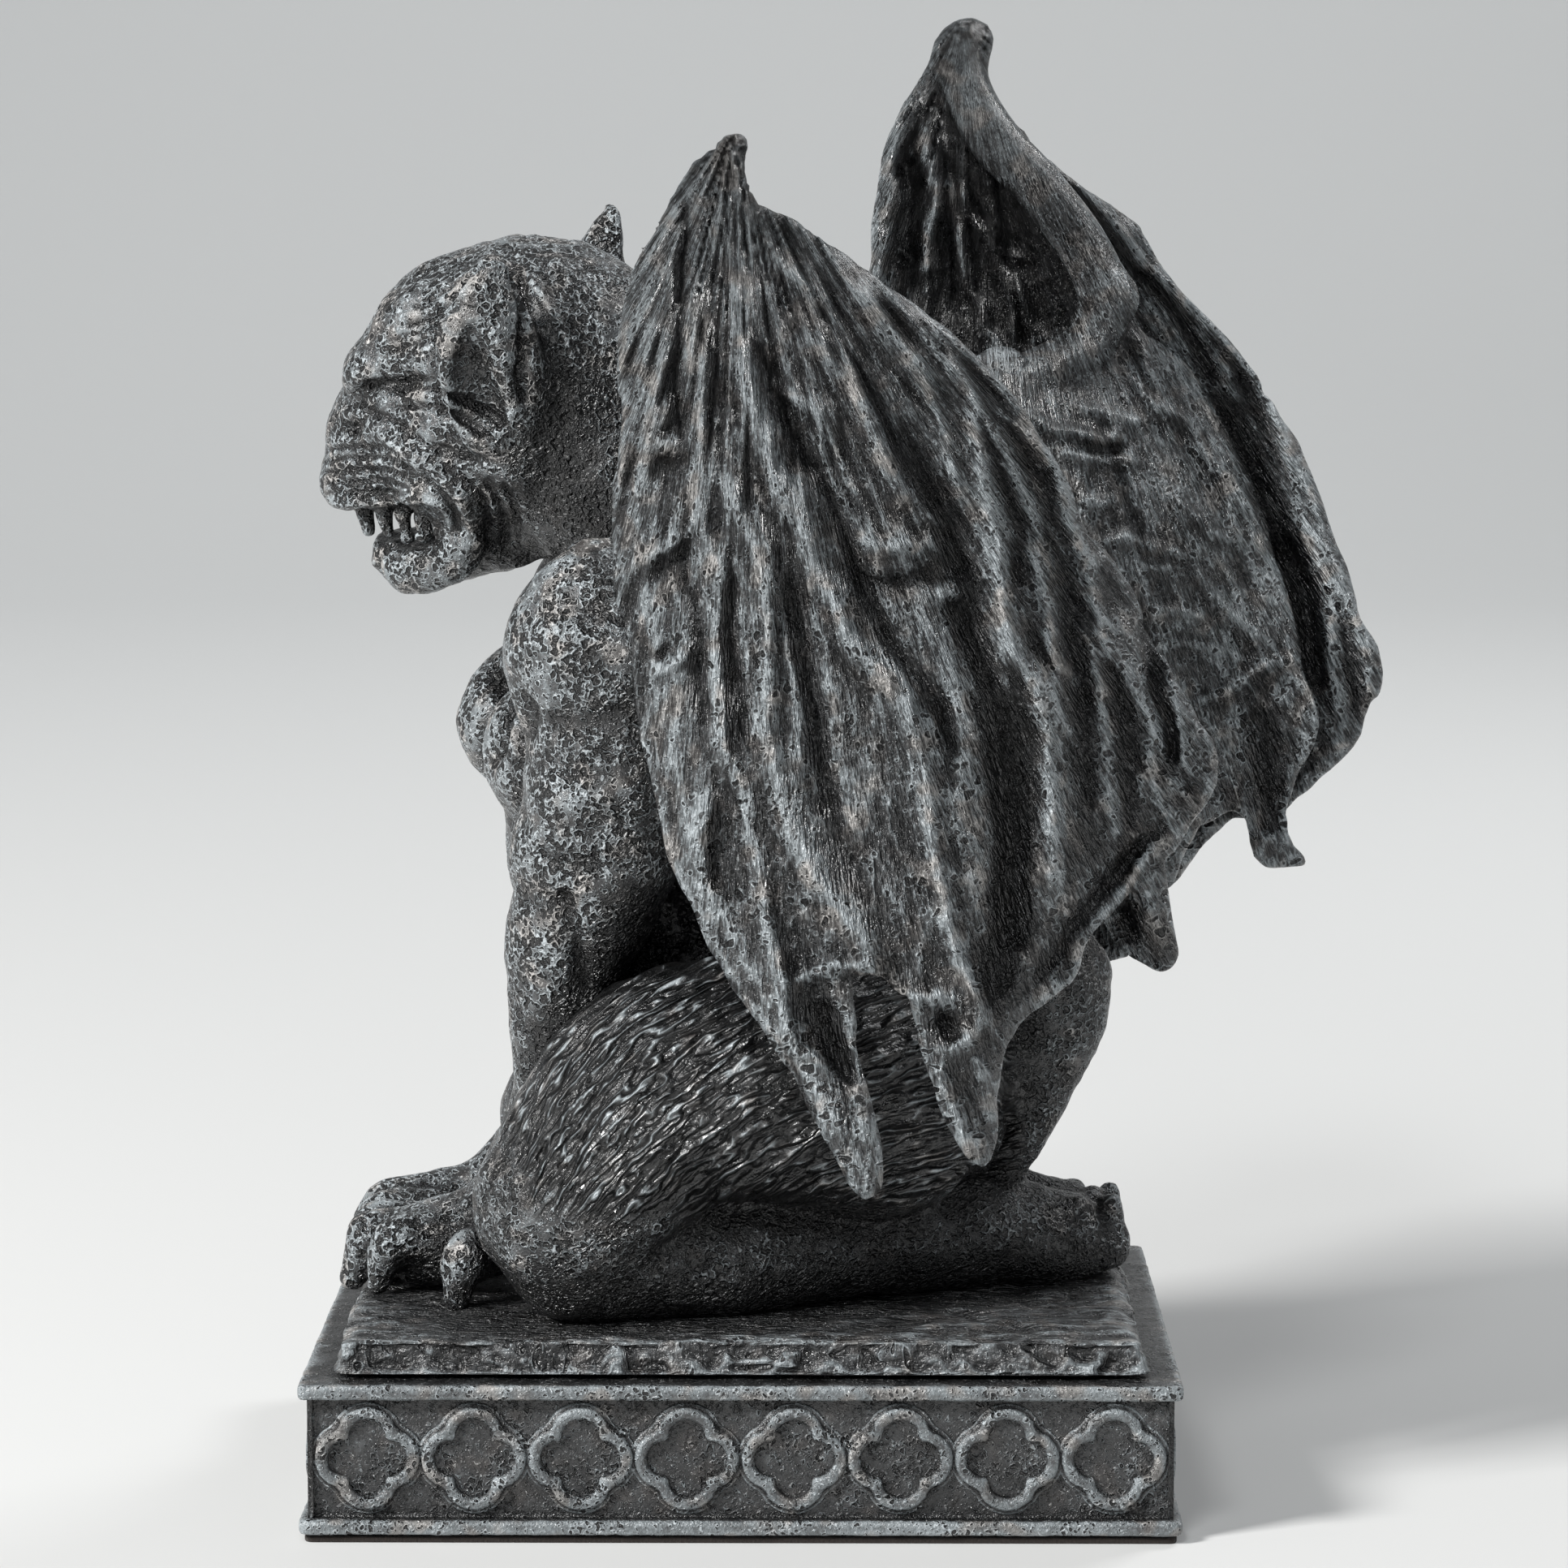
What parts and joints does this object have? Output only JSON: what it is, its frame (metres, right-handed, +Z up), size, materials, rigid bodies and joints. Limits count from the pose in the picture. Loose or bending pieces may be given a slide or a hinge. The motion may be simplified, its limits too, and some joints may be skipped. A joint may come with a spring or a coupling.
{
  "type": "gargoyle statue",
  "caption": "Kneeling gargoyle with raised bat wings and a snarling face, cast on a rough rock slab that sits on a rectangular plinth carved with a row of quatrefoils.",
  "frame": {"origin": "middle of the plinth's underside, on the surface that it stands on", "axes": "+Z up, the figure faces -X, the plinth's long sides run along X"},
  "size_m": [0.1299, 0.0886, 0.1719],
  "materials": {
    "dark_stone": "satin, black in the hollows with a cool grey dry-brush on the raised edges",
    "felt": "matt dark brown felt"
  },
  "bodies": {
    "root": {"gargoyle": "dark_stone", "plinth": "dark_stone", "felt_pad": "felt"}
  },
  "joints": []
}
